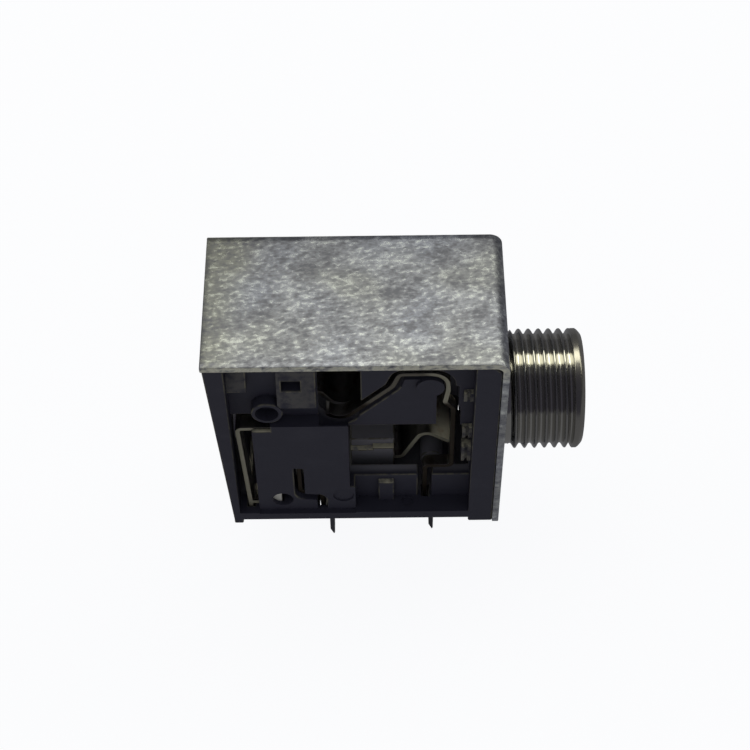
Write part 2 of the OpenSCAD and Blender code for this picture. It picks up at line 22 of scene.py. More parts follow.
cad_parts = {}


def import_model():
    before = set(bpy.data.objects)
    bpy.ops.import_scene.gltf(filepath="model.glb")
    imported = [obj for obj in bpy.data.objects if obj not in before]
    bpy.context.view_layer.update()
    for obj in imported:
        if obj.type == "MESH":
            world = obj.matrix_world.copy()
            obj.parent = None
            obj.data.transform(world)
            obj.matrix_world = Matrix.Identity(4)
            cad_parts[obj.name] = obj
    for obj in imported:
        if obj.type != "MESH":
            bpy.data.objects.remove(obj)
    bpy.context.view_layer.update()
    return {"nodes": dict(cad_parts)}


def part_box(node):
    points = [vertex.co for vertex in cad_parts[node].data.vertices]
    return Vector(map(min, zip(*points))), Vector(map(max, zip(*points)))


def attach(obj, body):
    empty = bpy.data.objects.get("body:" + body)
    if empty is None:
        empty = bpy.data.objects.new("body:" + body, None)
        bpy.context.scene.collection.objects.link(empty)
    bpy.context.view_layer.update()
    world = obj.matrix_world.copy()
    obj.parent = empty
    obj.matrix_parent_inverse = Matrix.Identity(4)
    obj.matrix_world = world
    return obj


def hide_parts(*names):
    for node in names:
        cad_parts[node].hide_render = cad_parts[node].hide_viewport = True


LOG = logging.getLogger("jack_socket")
MM = 0.001
SHARP = math.radians(35)
CREASE = math.radians(50)
FLAT = math.radians(0.3)
SAME_CORNER = 1e-3
SAME_POINT = 1e-7
SIDE_SHARE = 0.4
ONE_QUAD = np.array([[0, 1, 2, 3]])
Colour = tuple[float, float, float]
Span = tuple[float, float]


class Wire:
    """A shader socket whose arithmetic adds Math nodes to its tree."""

    def __init__(self, graph: "Graph", socket: bpy.types.NodeSocket) -> None:
        """Keeps the socket and the graph that it belongs to."""
        self.graph = graph
        self.socket = socket

    def __add__(self, other: "Value") -> "Wire":
        """Sum."""
        return self.graph.math("ADD", self, other)

    def __radd__(self, other: "Value") -> "Wire":
        """Sum with a number on the left."""
        return self.graph.math("ADD", other, self)

    def __sub__(self, other: "Value") -> "Wire":
        """Difference."""
        return self.graph.math("SUBTRACT", self, other)

    def __rsub__(self, other: "Value") -> "Wire":
        """Difference with a number on the left."""
        return self.graph.math("SUBTRACT", other, self)

    def __mul__(self, other: "Value") -> "Wire":
        """Product."""
        return self.graph.math("MULTIPLY", self, other)

    def __rmul__(self, other: "Value") -> "Wire":
        """Product with a number on the left."""
        return self.graph.math("MULTIPLY", other, self)


Value = Union[float, Wire]


class Graph:
    """The node tree of one material, built through expressions."""

    def __init__(self, tree: bpy.types.NodeTree) -> None:
        """Takes a tree and empties it."""
        self.tree = tree
        tree.nodes.clear()

    def node(self, kind: str, settings: Mapping[str, Any], inputs: Mapping[Any, Any]) -> bpy.types.Node:
        """Adds a node.

        Args:
            kind: Blender's name of the node type.
            settings: properties, set before the sockets.
            inputs: socket name or number to a number, a colour or a wire.

        Returns:
            The new node.
        """
        made = self.tree.nodes.new(kind)
        for key, value in settings.items():
            setattr(made, key, value)
        for key, value in inputs.items():
            if isinstance(value, Wire):
                self.tree.links.new(value.socket, made.inputs[key])
            else:
                made.inputs[key].default_value = value
        return made

    def wire(self, kind: str, settings: Mapping[str, Any], inputs: Mapping[Any, Any], output: Any = 0) -> Wire:
        """Adds a node and returns one of its outputs."""
        return Wire(self, self.node(kind, settings, inputs).outputs[output])

    def math(self, operation: str, first: Value, second: Value = 0.0) -> Wire:
        """Adds a Math node."""
        return self.wire("ShaderNodeMath", {"operation": operation}, {0: first, 1: second})

    def clamp(self, value: Value) -> Wire:
        """Keeps a value between 0 and 1."""
        return self.wire("ShaderNodeClamp", {}, {0: value})

    def step(self, value: Value, low: float, high: float) -> Wire:
        """Rises smoothly from 0 at low to 1 at high."""
        inputs = {"Value": value, "From Min": low, "From Max": high}
        return self.wire("ShaderNodeMapRange", {"interpolation_type": "SMOOTHSTEP"}, inputs)

    def band(self, value: Value, low: float, high: float, soft: float) -> Wire:
        """1 from low to high, falling to 0 over a soft length on either side."""
        return self.step(value, low - soft, low) * (1 - self.step(value, high, high + soft))

    def mix(self, factor: Value, first: Any, second: Any) -> Wire:
        """Mixes two colours.

        Args:
            factor: share of the second colour.
            first: a colour or a wire.
            second: a colour or a wire.

        Returns:
            The mixed colour.
        """
        settings = {"data_type": "RGBA", "clamp_factor": True}
        made = self.node("ShaderNodeMix", settings, {"Factor": factor})
        for index, colour in ((6, first), (7, second)):
            if isinstance(colour, Wire):
                self.tree.links.new(colour.socket, made.inputs[index])
            else:
                made.inputs[index].default_value = (*colour, 1.0)
        return Wire(self, made.outputs[2])

    def place(
            self, scale: Sequence[float], turn: Sequence[float] = (0, 0, 0),
            shift: Sequence[float] = (0, 0, 0)) -> Wire:
        """Object coordinates, turned, scaled and shifted, so that one unit is the length given by 1 / scale.

        Args:
            scale: units to a millimetre along each axis.
            turn: angles round the axes.
            shift: units to move by.

        Returns:
            The coordinates.
        """
        coordinates = self.wire("ShaderNodeTexCoord", {}, {}, "Object")
        turned = self.wire(
            "ShaderNodeMapping", {}, {"Vector": coordinates, "Rotation": tuple(turn), "Scale": (1 / MM,) * 3})
        return self.wire("ShaderNodeMapping", {}, {"Vector": turned, "Scale": tuple(scale), "Location": tuple(shift)})

    def axes(self) -> tuple[Wire, Wire, Wire]:
        """The three coordinates of a place on the part, in millimetres."""
        split = self.node("ShaderNodeSeparateXYZ", {}, {0: self.place((1, 1, 1))})
        return tuple(Wire(self, socket) for socket in split.outputs)

    def mark(self, name: str) -> Wire:
        """A number that the mesh carries on its faces."""
        return self.wire("ShaderNodeAttribute", {"attribute_name": name}, {}, "Fac")

    def noise(self, vector: Wire, detail: float = 2.0, rough: float = 0.5, bend: float = 0.0) -> Wire:
        """Fractal noise with features about one unit across, from 0 to 1."""
        inputs = {"Vector": vector, "Scale": 1.0, "Detail": detail, "Roughness": rough, "Distortion": bend}
        return self.wire("ShaderNodeTexNoise", {}, inputs)

    def bump(self, height: Value, strength: float, depth: float) -> Wire:
        """Bump of the given depth in millimetres."""
        inputs = {"Height": height, "Strength": strength, "Distance": depth * MM}
        return self.wire("ShaderNodeBump", {}, inputs)

    def surface(self, inputs: Mapping[str, Any]) -> None:
        """Ends the tree in a Principled shader."""
        shader = self.wire("ShaderNodeBsdfPrincipled", {}, inputs)
        self.node("ShaderNodeOutputMaterial", {}, {"Surface": shader})


def new_material(name: str) -> tuple[bpy.types.Material, Graph]:
    """Makes an empty node material.

    Args:
        name: the material's name.

    Returns:
        The material and the graph of its tree.
    """
    made = bpy.data.materials.new(name)
    made.use_nodes = True
    return made, Graph(made.node_tree)


@dataclass(frozen=True)
class TinnedSheet:
    """Dull tinned steel with a streaky grain, bright flecks, dark pits, faint olive and blue stains, cut edges
    painted light near the top and painted shade at the rear end.
    """

    dark: Colour = (0.096, 0.1, 0.125)
    middle: Colour = (0.268, 0.282, 0.336)
    light: Colour = (0.54, 0.58, 0.59)
    olive: Colour = (0.19, 0.196, 0.178)
    blue: Colour = (0.238, 0.256, 0.336)
    cut_edge: Colour = (0.42, 0.42, 0.37)
    streak_length: float = 0.62
    streak_width: float = 0.36
    streak_turn: float = math.radians(-8)
    base_level: float = 0.54
    streak_contrast: float = 2.8
    patch_contrast: float = 1.8
    fleck_from: Span = (0.5, 0.68)
    fleck_share: float = 0.55
    pit_from: Span = (0.54, 0.7)
    pit_share: float = 0.25
    stain_size: float = 6.0
    blue_from: Span = (0.45, 0.66)
    olive_from: Span = (0.52, 0.66)
    # The rear end is mixed towards olive: an olive tint with painted shade, darker towards the rear.
    olive_shaded_end: Span = (17.0, 21.5)
    cut_from: Span = (5.94, 5.98)
    # Heights of the painted light on the cut edge, and the share of it left lower down, where painted shade falls.
    lit_cut_height: Span = (8.5, 9.8)
    lit_cut_below: float = 0.1
    metal: float = 0.75
    edge_metal: float = 0.15
    roughness: float = 0.28

    def material(self) -> bpy.types.Material:
        """Builds the finish: streaks and flecks set the colour and the roughness, and a little relief.

        Returns:
            The material.
        """
        made, g = new_material("tinned_sheet")
        turn = (0, 0, self.streak_turn)
        along, over = 1 / self.streak_length, 1 / self.streak_width
        streak = g.noise(g.place((along, over, over), turn), detail=3.0, rough=0.65, bend=0.15)
        crystal = g.noise(g.place((along * 1.7, over * 1.2, over), turn, (7, 3, 5)), detail=2.0, rough=0.6)
        patch = g.noise(g.place((0.4, 0.5, 0.5), shift=(2, 9, 4)), detail=2.0)
        tint = g.noise(g.place((1 / self.stain_size,) * 3, shift=(1.3, 0.4, 8)), detail=1.0)
        x, y, z = g.axes()
        # Painted shade: darker and olive towards the rear end.
        end = g.step(0 - x, *self.olive_shaded_end)
        edge = g.step(g.math("ABSOLUTE", y), *self.cut_from)
        # The cut edge's light colour is kept near the top: painted light there, painted shade lower down the front
        # plate's edge.
        lit_cut_edge = edge * (self.lit_cut_below + g.step(z, *self.lit_cut_height) * (1 - self.lit_cut_below))
        level = g.clamp(self.base_level + (streak - 0.5) * self.streak_contrast + (patch - 0.5) * self.patch_contrast)
        fleck = g.step(streak * 0.5 + crystal * 0.3 + patch * 0.2, *self.fleck_from)
        pit = g.step(1 - crystal, *self.pit_from)
        stained_and_shaded = g.mix(g.step(tint, *self.blue_from) * 0.8, self.middle, self.blue)
        # Random olive stains, plus painted shade that darkens the rear end.
        stained_and_shaded = g.mix(g.step(1 - tint, *self.olive_from) * 0.4 + end * 0.9, stained_and_shaded, self.olive)
        grained = g.mix(pit * self.pit_share, g.mix(level, self.dark, stained_and_shaded), self.dark)
        top = g.mix(fleck * self.fleck_share, grained, self.light)
        # Painted light: the lighter cut-edge colour on the edges near the top.
        colour = g.mix(lit_cut_edge * g.step(streak, 0.3, 0.6), top, self.cut_edge)
        g.surface({
            "Base Color": colour, "Metallic": self.metal - edge * (self.metal - self.edge_metal),
            "Roughness": self.roughness - fleck * 0.04 + pit * 0.1,
            "Normal": g.bump(streak + crystal * 0.6, strength=0.2, depth=0.01)})
        return made


@dataclass(frozen=True)
class NickelPlate:
    """Nickel over turned brass, with painted light in the thread's roots, worn at the mouth, with fine lines round
    the axis.
    """

    plate: Colour = (0.42, 0.415, 0.39)
    # Lighter colour for the thread's roots: painted light where the roots lie in shade.
    root: Colour = (0.62, 0.61, 0.56)
    worn: Colour = (0.4, 0.388, 0.352)
    root_radius: float = 4.1
    crest_radius: float = 4.42
    root_light_share: float = 0.7
    worn_from: Span = (5.0, 5.3)
    roughness: float = 0.06
    worn_roughness: float = 0.17

    def material(self) -> bpy.types.Material:
        """Builds the finish from the distance off the plug axis and from lines that run round it.

        Returns:
            The material.
        """
        made, g = new_material("nickel_plate")
        x, y, z = g.axes()
        radius = g.math("SQRT", y * y + z * z)
        depth = 1 - g.step(radius, self.root_radius, self.crest_radius)
        lines = g.noise(g.place((26, 0.25, 0.25)), detail=2.0, rough=0.6)
        smudge = g.noise(g.place((0.9, 0.9, 0.9), shift=(4, 2, 1)), detail=2.0)
        worn = g.step(x, *self.worn_from)
        # Painted light: the roots are mixed towards the lighter root colour.
        colour = g.mix(worn, g.mix(depth * self.root_light_share, self.plate, self.root), self.worn)
        rough = self.roughness + depth * 0.05 + smudge * 0.06 + (lines - 0.5) * 0.05 + worn * self.worn_roughness
        g.surface({
            "Base Color": colour, "Metallic": 1.0, "Roughness": rough,
            "Normal": g.bump(lines, strength=0.12, depth=0.01)})
        return made


@dataclass(frozen=True)
class BlackMoulding:
    """Satin black plastic with a soft mould texture and flow marks, painted light inside the contact channel, painted
    highlights on its rounded edges and dust with painted light on its ledges.
    """

    body: Colour = (0.0255, 0.0258, 0.041)
    flow: Colour = (0.029, 0.0295, 0.046)
    # Painted light: a lighter colour for the inside of the contact channel, where shade falls.
    lit_inside: Colour = (0.13, 0.13, 0.155)
    # Painted highlight colour for the rounded edges.
    edge_light: Colour = (0.075, 0.072, 0.06)
    # Pale colour for dust together with painted light on faces that face the light.
    dust_and_light: Colour = (0.34, 0.325, 0.25)
    channel: float = 3.4
    channel_rear: float = -19.9
    channel_floor: float = -7.8
    skin: float = 0.3
    flow_from: Span = (0.45, 0.75)
    patchiness_from: Span = (0.3, 0.6)
    dust_and_light_share: float = 0.9
    roughness: float = 0.5
    reflection: float = 0.2

    def material(self) -> bpy.types.Material:
        """Builds the finish: flow marks shift colour and gloss, painted light lifts the channel's inside, and the
        mesh says where edge highlights are painted and where dust and painted light go.

        Returns:
            The material.
        """
        made, g = new_material("black_moulding")
        texture = g.noise(g.place((7, 7, 7)), detail=2.0)
        flow = g.noise(g.place((0.35, 0.9, 0.6), shift=(3, 1, 6)), detail=2.0, bend=0.6)
        # Patches for the painted edge highlights and for the dust.
        patchiness = g.noise(g.place((1.4, 1.4, 1.4), shift=(5, 2, 9)), detail=3.0, rough=0.6)
        x, y, z = g.axes()
        # Painted light inside the channel: the moulding is lightened where it lies in shade.
        lit_channel = 1 - g.step(g.math("ABSOLUTE", y), self.channel + self.skin, self.channel + 3 * self.skin)
        lit_channel = lit_channel * g.step(x, self.channel_rear - self.skin, self.channel_rear)
        lit_channel = lit_channel * g.step(z, self.channel_floor - self.skin, self.channel_floor)
        plain = g.mix(g.step(flow, *self.flow_from), self.body, self.flow)
        lit_deep = g.mix(lit_channel, plain, self.lit_inside)
        uneven = g.step(patchiness, *self.patchiness_from)
        # Painted highlight: a lighter colour on the rounded edges, in patches.
        edged = g.mix(g.mark("edge_light") * uneven, lit_deep, self.edge_light)
        # Dust and painted light: a pale colour on small ledges, ribs and lugs that face the light.
        colour = g.mix(g.mark("picked") * uneven * self.dust_and_light_share, edged, self.dust_and_light)
        rough = self.roughness + (flow - 0.5) * 0.25 + (texture - 0.5) * 0.12
        g.surface({
            "Base Color": colour, "Roughness": rough, "Specular IOR Level": self.reflection,
            "Normal": g.bump(texture, strength=0.2, depth=0.01)})
        return made


@dataclass(frozen=True)
class TinnedStrip:
    """Tinned spring strip, a little brown at places, with fine rolling lines and matt sheared edges, with painted
    shade on the legs, the ring spring's run and the pins, and a painted glint on the tab's lip.
    """

    tin: Colour = (0.34, 0.33, 0.29)
    tarnish: Colour = (0.2, 0.165, 0.11)
    sheared: Colour = (0.22, 0.214, 0.171)
    # Painted shade colour for the legs and the ring spring's run.
    shaded: Colour = (0.075, 0.062, 0.045)
    # Painted shade: a dark colour for the pins below the board.
    shaded_pin: Colour = (0.11, 0.11, 0.12)
    # Painted glint colour for the tab's lip.
    lip_glint: Colour = (0.5, 0.5, 0.49)
    stain_from: Span = (0.5, 0.72)
    # Places of the painted shade: legs below this height and the run before the hook are darkened.
    leg_top: Span = (4.0, 4.6)
    hook: Span = (-6.1, -5.1)
    ramp_light_share: float = 0.3
    # Place of the painted glint on the tab's lip.
    lip: Span = (-18.1, -15.4)
    lip_soft: float = 0.2
    lip_top: Span = (-5.0, -4.7)
    # Height below which the pins get painted shade.
    pin_top: Span = (-9.2, -8.8)
    edge_matt: float = 0.75
    roughness: float = 0.34

    def material(self) -> bpy.types.Material:
        """Builds the finish: tarnish in patches, rolling lines, sheared edges where the mesh says so, and painted
        shade and a painted glint by place.

        Returns:
            The material.
        """
        made, g = new_material("tinned_strip")
        patch = g.noise(g.place((0.8, 0.8, 0.8), shift=(2, 5, 3)), detail=3.0, rough=0.6)
        lines = g.noise(g.place((1.2, 9, 1.2)), detail=2.0)
        along, _, height = g.axes()
        # Painted shade: legs low down and the run under the sheet take the dark colour instead of the bright sheared
        # edge.
        high = g.step(height, *self.leg_top)
        high = high * (self.ramp_light_share + g.step(along, *self.hook) * (1 - self.ramp_light_share))
        # Painted shade on the pins below the board.
        shaded_pin = 1 - g.step(height, *self.pin_top)
        leg = g.clamp(0 - g.mark("picked"))
        edge, shaded = g.clamp(g.mark("picked")) + leg * high, leg * (1 - high)
        stain = g.step(patch, *self.stain_from)
        # Painted shade: the dark colour on the shaded legs and run.
        face = g.mix(shaded, g.mix(stain * 0.8, self.tin, self.tarnish), self.shaded)
        # Painted glint: a light colour on the near edge of the tab's lip.
        lip = g.band(along, *self.lip, self.lip_soft) * (1 - g.step(height, *self.lip_top)) * edge
        near = g.mix(lip, g.mix(edge * (1 - stain * 0.6), face, self.sheared), self.lip_glint)
        colour = g.mix(shaded_pin, near, self.shaded_pin)
        rough = self.roughness + (lines - 0.5) * 0.2 + stain * 0.16 + edge * 0.2 + shaded * 0.15
        g.surface({
            "Base Color": colour, "Metallic": 1 - edge * self.edge_matt * (1 - shaded_pin), "Roughness": rough,
            "Normal": g.bump(lines, strength=0.1, depth=0.008)})
        return made


def link(mesh: bpy.types.Mesh, material: bpy.types.Material) -> bpy.types.Object:
    """Puts a mesh into the scene as an object of its own name, smooth all over.

    Args:
        mesh: the mesh.
        material: its finish.

    Returns:
        The new object.
    """
    mesh.materials.clear()
    mesh.materials.append(material)
    mesh.polygons.foreach_set("use_smooth", np.ones(len(mesh.polygons), bool))
    made = bpy.data.objects.new(mesh.name, mesh)
    bpy.context.scene.collection.objects.link(made)
    return made


def quads(rows: int, columns: int, close_rows: bool, close_columns: bool, first: int = 0) -> np.ndarray:
    """Corner numbers of the quads of a grid.

    Args:
        rows: points along the first parameter.
        columns: points along the second one.
        close_rows: whether the last row joins the first.
        close_columns: whether the last column joins the first.
        first: number of the grid's first point.

    Returns:
        One row of four point numbers for each quad.
    """
    row, column = np.meshgrid(
        np.arange(rows - (not close_rows)), np.arange(columns - (not close_columns)), indexing="ij")
    here, there = row * columns, (row + 1) % rows * columns
    beside = (column + 1) % columns
    return np.stack([here + column, here + beside, there + beside, there + column], -1).reshape(-1, 4) + first


def mesh_of(name: str, points: np.ndarray, faces: np.ndarray) -> bpy.types.Mesh:
    """Makes a mesh from points in millimetres and quads, with doubles merged and faces turned outwards.

    Args:
        name: the mesh's name.
        points: places, three numbers each.
        faces: one row of four point numbers for each quad.

    Returns:
        The mesh, in metres.
    """
    mesh = bpy.data.meshes.new(name)
    mesh.from_pydata((points.reshape(-1, 3) * MM).tolist(), [], faces.tolist())
    work = bmesh.new()
    work.from_mesh(mesh)
    bmesh.ops.remove_doubles(work, verts=work.verts, dist=SAME_POINT)
    bmesh.ops.recalc_face_normals(work, faces=work.faces)
    work.to_mesh(mesh)
    work.free()
    mesh.update()
    return mesh


def rounded_loop(corners: np.ndarray, radius: float, steps: int = 3) -> np.ndarray:
    """Rounds each corner of a closed outline.

    Each corner is replaced by the points of a parabola that leaves and meets its two sides at the given distance,
    or at a fixed share of a side that is too short.

    Args:
        corners: outline points, one per row.
        radius: distance from a corner at which the rounding starts.
        steps: spans of each rounding.

    Returns:
        The rounded outline's points.
    """
    to_last = np.roll(corners, 1, 0) - corners
    to_next = np.roll(corners, -1, 0) - corners
    reach_last = np.minimum(radius / np.linalg.norm(to_last, axis=1), SIDE_SHARE)[:, None]
    reach_next = np.minimum(radius / np.linalg.norm(to_next, axis=1), SIDE_SHARE)[:, None]
    t = np.linspace(0, 1, steps + 1)[None, :, None]
    start, end = (corners + to_last * reach_last)[:, None], (corners + to_next * reach_next)[:, None]
    bend = (1 - t) ** 2 * start + 2 * t * (1 - t) * corners[:, None] + t ** 2 * end
    return bend.reshape(-1, corners.shape[1])


def even_normals(piece: bpy.types.Object) -> None:
    """Gives the normals at each corner to its largest face, so that flat faces look flat beside eased edges.

    Args:
        piece: the object to even out.
    """
    even = piece.modifiers.new("normals", "WEIGHTED_NORMAL")
    even.mode = "FACE_AREA"
    even.weight = 100
    even.keep_sharp = True


class Easing(Enum):
    """Which of a solid's sharp edges are rounded."""

    OUTER = "edges that stand out"
    ALL = "all edges"


@dataclass(frozen=True)
class Room:
    """Room that a rounding needs, in widths of the rounding, and what counts as two sides facing each other."""

    across: float = 3.0
    facing: float = 2.4
    along: float = 0.1
    ends: float = 1.5
    facing_cosine: float = -0.5
    touching: float = 1e-6


ROOM = Room()


def facing_gap(side: bmesh.types.BMLoop) -> float:
    """Distance across a face from one of its sides to the nearest side that runs the other way.

    Args:
        side: the side to start from.

    Returns:
        The distance, or infinity if no such side lies on the face's hand.
    """
    start, end = side.vert.co, side.link_loop_next.vert.co
    along = (end - start).normalized()
    inward = side.face.normal.cross(along)
    nearest = math.inf
    for other in side.face.loops:
        first, last = other.vert.co, other.link_loop_next.vert.co
        if along.dot((last - first).normalized()) > ROOM.facing_cosine:
            continue
        for point, near, far, hand in (
                (first, start, end, 1), (last, start, end, 1), (start, first, last, -1), (end, first, last, -1)):
            share = intersect_point_line(point, near, far)[1]
            across = (point - near.lerp(far, min(max(share, 0.0), 1.0))) * hand
            if across.dot(inward) > ROOM.touching:
                nearest = min(nearest, across.length)
    return nearest


def has_room(edge: bmesh.types.BMEdge, width: float, sharp: set[bmesh.types.BMEdge]) -> bool:
    """Whether an edge can be rounded without the rounding running into other sides of the two faces.

    Args:
        edge: the edge.
        width: width of the rounding.
        sharp: all the edges that might be rounded.

    Returns:
        True if both faces are wide enough and the roundings at the edge's ends leave some of it.
    """
    start, along = edge.verts[0].co, (edge.verts[1].co - edge.verts[0].co).normalized()
    for side in edge.link_loops:
        ways = [corner.co - start for corner in side.face.verts]
        reach = max((way - along * way.dot(along)).length for way in ways)
        if reach < ROOM.across * width or facing_gap(side) < ROOM.facing * width:
            return False
        left = edge.calc_length()
        for corner, beside in ((side, side.link_loop_prev.edge), (side.link_loop_next, side.link_loop_next.edge)):
            if beside in sharp:
                left -= (1 if corner.is_convex else -1) * width / math.tan(corner.calc_angle() / 2)
        if left < ROOM.along * width:
            return False
    return True


def ends_free(edge: bmesh.types.BMEdge, width: float, rounded: set[bmesh.types.BMEdge]) -> bool:
    """Whether no short edge that stays sharp starts at an edge's ends.

    Args:
        edge: the edge.
        width: width of the rounding.
        rounded: the edges that are to be rounded.

    Returns:
        True if each other edge at the two ends is rounded too or is long enough.
    """
    others = {other for corner in edge.verts for other in corner.link_edges} - rounded
    return all(other.calc_length() > ROOM.ends * width for other in others)


def eased_copy(
        node: bpy.types.Object, name: str, width: float, easing: Easing,
        pick: Callable[[bmesh.types.BMFace], float]) -> bpy.types.Mesh:
    """Copies a solid's surface with its edges rounded.

    Triangles that lie in one plane are joined first, and corners that the rounding throws off the solid are put back
    on it. Edges that have no room for a rounding stay as creases. Two marks are left on the faces for the finish:
    "edge_light" on the rounded edges, where the moulding's finish paints a highlight, and "picked", with a value
    from the caller, on the others.

    Args:
        node: the solid.
        name: the new mesh's name.
        width: width of the rounding, in millimetres.
        easing: which sharp edges are rounded.
        pick: gives the mark "picked" of a face, whose places are in millimetres.

    Returns:
        The new mesh.
    """
    mesh = node.data.copy()
    mesh.name = name
    work = bmesh.new()
    work.from_mesh(mesh)
    bmesh.ops.scale(work, vec=(1 / MM,) * 3, verts=work.verts)
    bmesh.ops.remove_doubles(work, verts=work.verts, dist=SAME_CORNER)
    bmesh.ops.dissolve_limit(
        work, angle_limit=FLAT, verts=work.verts, edges=work.edges, use_dissolve_boundaries=False)
    solid = BVHTree.FromBMesh(work)
    picked = work.faces.layers.float.new("picked")
    edge_light = work.faces.layers.float.new("edge_light")
    for face in work.faces:
        face[picked] = pick(face)
    sharp = {edge for edge in work.edges if edge.is_manifold and edge.calc_face_angle() > SHARP}
    if easing is Easing.OUTER:
        sharp = {edge for edge in sharp if edge.is_convex}
    roomy = {edge for edge in sharp if has_room(edge, width, sharp)}
    while tight := {edge for edge in roomy if not ends_free(edge, width, roomy)}:
        roomy -= tight
    rounding = bmesh.ops.bevel(
        work, geom=[edge for edge in work.edges if edge in roomy], offset=width, offset_type="OFFSET", segments=2,
        profile=0.5, affect="EDGES", clamp_overlap=False)
    # Marks the rounded faces, on which the moulding's finish paints edge highlights.
    for face in rounding["faces"]:
        face[edge_light] = 1.0
    for corner in work.verts:
        nearest, _, _, gap = solid.find_nearest(corner.co)
        if gap > width:
            corner.co = nearest
    for edge in work.edges:
        edge.smooth = edge.calc_face_angle(0.0) < CREASE
    bmesh.ops.scale(work, vec=(MM,) * 3, verts=work.verts)
    work.to_mesh(mesh)
    work.free()
    mesh.update()
    return mesh


def dress(piece: bpy.types.Object, node: str) -> None:
    """Says that a piece stands for a solid and rides with the part.

    Args:
        piece: the dressed piece.
        node: the solid's name.
    """
    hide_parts(node)
    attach(piece, "root")
    LOG.info("%s stands for %s with %d faces", piece.name, node, len(piece.data.polygons))


@dataclass
class ThreadedBush:
    """The turned bush: spigot, flange, neck, thread, mouth and plug bore as one closed surface."""

    bore_radius: float = 3.25
    spigot_radius: float = 4.0
    flange_radius: float = 5.2
    thread_radius: float = 4.5
    spigot_back: float = -2.35
    flange_back: float = -1.3
    flange_front: float = -0.5
    neck_end: float = 0.5
    neck_radius: float = 4.15
    mouth: float = 6.0
    chamfer: float = 0.4
    lead: float = 0.35
    pitch: float = 0.75
    thread_depth: float = 0.38
    crest_flat: float = 0.06
    root_flat: float = 0.1
    straight: float = 0.3
    mouth_power: float = 1.4
    thread_end: float = 5.12
    run_out: float = 0.2
    start_angle: float = math.radians(260)
    edge: float = 0.06
    rows_round: int = 160
    row_length: float = 0.03

    def thread(self, x: np.ndarray, angle: np.ndarray) -> np.ndarray:
        """Radius of the thread at a place along the axis and an angle round it.

        The turn's phase is the place along the axis, less one pitch per turn. The depth falls from the crest flat to
        the root flat along straight flanks, softened a little. The groove runs out into a plain land before the
        mouth, and the neck and the mouth's chamfer cut the rest off.

        Args:
            x: places along the axis.
            angle: angles round the axis.

        Returns:
            The radii, for each place and angle.
        """
        phase = (x / self.pitch - (angle - self.start_angle) / (2 * math.pi)) % 1.0
        away = np.abs(phase - 0.5) * 2
        crest, root = self.crest_flat / self.pitch, self.root_flat / self.pitch
        depth = np.clip((away - crest) / (1 - crest - root), 0, 1)
        fade = np.clip((self.thread_end + self.run_out - x) / self.run_out, 0, 1)
        soft = (depth * self.straight + (1 - self.straight) * depth ** 2 * (3 - 2 * depth)) * fade
        neck = self.neck_radius + np.clip(x - self.neck_end, 0, None)
        nearing = np.clip((x - self.mouth) / self.chamfer + 1, 0, 1)
        mouth = self.thread_radius - self.chamfer * nearing ** self.mouth_power
        return np.minimum(np.minimum(self.thread_radius - self.thread_depth * soft, neck), mouth)

    def build(self, material: bpy.types.Material) -> bpy.types.Object:
        """Turns the outline round the axis, with the thread's radius worked out for each point.

        Args:
            material: the bush's finish.

        Returns:
            The piece.
        """
        x = np.arange(self.neck_end, self.mouth, self.row_length)
        angle = np.linspace(0, 2 * math.pi, self.rows_round, endpoint=False)
        plain = np.array([
            [self.mouth, self.thread_radius - self.chamfer], [self.mouth, self.bore_radius + self.lead],
            [self.mouth - self.lead, self.bore_radius], [self.spigot_back, self.bore_radius],
            [self.spigot_back, self.spigot_radius], [self.flange_back, self.spigot_radius],
            [self.flange_back, self.flange_radius], [self.flange_front, self.flange_radius],
            [self.flange_front, self.neck_radius], [self.neck_end, self.neck_radius]])
        outline = rounded_loop(plain, self.edge)[2:-2]
        along = np.concatenate([x[1:], outline[:, 0]])
        radius = np.concatenate([
            self.thread(x[1:, None], angle[None, :]), np.repeat(outline[:, 1:2], self.rows_round, 1)])
        points = np.stack([
            np.repeat(along[:, None], self.rows_round, 1), radius * np.cos(angle), radius * np.sin(angle)], -1)
        faces = quads(len(along), self.rows_round, True, True)
        return link(mesh_of("threaded_bush_turned", points, faces), material)


